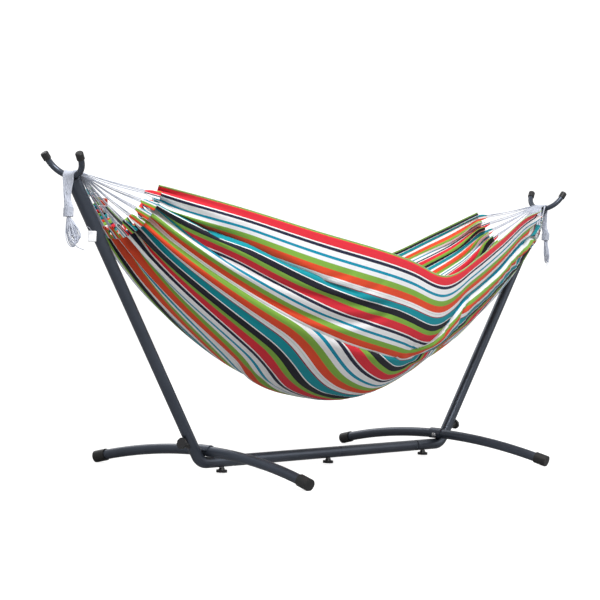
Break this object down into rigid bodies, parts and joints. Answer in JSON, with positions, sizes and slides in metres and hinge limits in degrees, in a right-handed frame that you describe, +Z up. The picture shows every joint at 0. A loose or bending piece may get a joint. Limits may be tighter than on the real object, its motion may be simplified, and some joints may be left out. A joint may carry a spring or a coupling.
{
  "type": "hammock on stand",
  "caption": "Striped woven hammock with gathered ends, hung by strings from the U hooks of a bent-tube steel stand on two arched feet.",
  "frame": {"origin": "on the floor, under the centre of the stand", "axes": "+X along the hammock from the left hook to the right hook, +Y across it towards the back, +Z up"},
  "size_m": [2.792, 0.992, 1.0584],
  "materials": {
    "steel": "charcoal powder coat, fine texture, satin",
    "rubber": "matt black moulded rubber",
    "plastic": "black moulded plastic with fine grain",
    "zinc": "zinc plated",
    "cloth": "striped plain weave cotton",
    "cotton": "twisted white cotton cord",
    "label": "blank woven tag"
  },
  "bodies": {
    "stand": {"elbow_left": "steel", "hook_sleeve_left": "steel", "hook_left": "steel", "foot_left": "steel", "foot_saddle_left": "steel", "elbow_right": "steel", "hook_sleeve_right": "steel", "hook_right": "steel", "foot_right": "steel", "foot_saddle_right": "steel", "beam_left": "steel", "beam_right": "steel", "hook_cap_left_front": "rubber", "foot_cap_left_front": "rubber", "hook_cap_left_back": "rubber", "foot_cap_left_back": "rubber", "hook_cap_right_front": "rubber", "foot_cap_right_front": "rubber", "hook_cap_right_back": "rubber", "foot_cap_right_back": "rubber", "knob_spacer_left": "plastic", "knob_spacer_right": "plastic", "foot_bolt_left": "zinc", "foot_bolt_right": "zinc", "weld_nut_left": "zinc", "weld_nut_centre": "zinc", "weld_nut_right": "zinc", "hook_wrap_left": "cotton", "hank_left": "cotton", "whipping_left": "cotton", "end_loop_left": "cotton", "hook_wrap_right": "cotton", "hank_right": "cotton", "whipping_right": "cotton", "end_loop_right": "cotton", "tag": "label"},
    "hammock": {"bed": "cloth", "tabs_left": "cloth", "tabs_right": "cloth", "strings_left": "cotton", "strings_right": "cotton"},
    "foot_knob_left": {"foot_knob_left": "plastic"},
    "foot_knob_right": {"foot_knob_right": "plastic"},
    "beam_knob_left": {"beam_knob_left": "plastic", "beam_stud_left": "zinc", "knob_washer_left": "zinc"},
    "beam_knob_centre": {"beam_knob_centre": "plastic", "beam_stud_centre": "zinc", "knob_washer_centre": "zinc"},
    "beam_knob_right": {"beam_knob_right": "plastic", "beam_stud_right": "zinc", "knob_washer_right": "zinc"}
  },
  "joints": [
    {"name": "hammock_swing", "type": "hinge", "parent": "stand", "child": "hammock", "pos_m": [0, 0, 0.987], "axis": [1, 0, 0], "range_deg": [-30, 30]},
    {"name": "foot_knob_left_turn", "type": "hinge", "parent": "stand", "child": "foot_knob_left", "pos_m": [-0.77958, 0, 0.11296], "axis": [-0.9659, 0, 0.2588], "range_deg": [0, 1620]},
    {"name": "foot_knob_right_turn", "type": "hinge", "parent": "stand", "child": "foot_knob_right", "pos_m": [0.77958, 0, 0.11296], "axis": [0.9659, 0, 0.2588], "range_deg": [0, 1620]},
    {"name": "beam_knob_left_turn", "type": "hinge", "parent": "stand", "child": "beam_knob_left", "pos_m": [-0.58, 0, 0.014], "axis": [0, 0, -1], "range_deg": [0, 1620]},
    {"name": "beam_knob_centre_turn", "type": "hinge", "parent": "stand", "child": "beam_knob_centre", "pos_m": [0, 0, 0.014], "axis": [0, 0, -1], "range_deg": [0, 1620]},
    {"name": "beam_knob_right_turn", "type": "hinge", "parent": "stand", "child": "beam_knob_right", "pos_m": [0.58, 0, 0.014], "axis": [0, 0, -1], "range_deg": [0, 1620]}
  ]
}
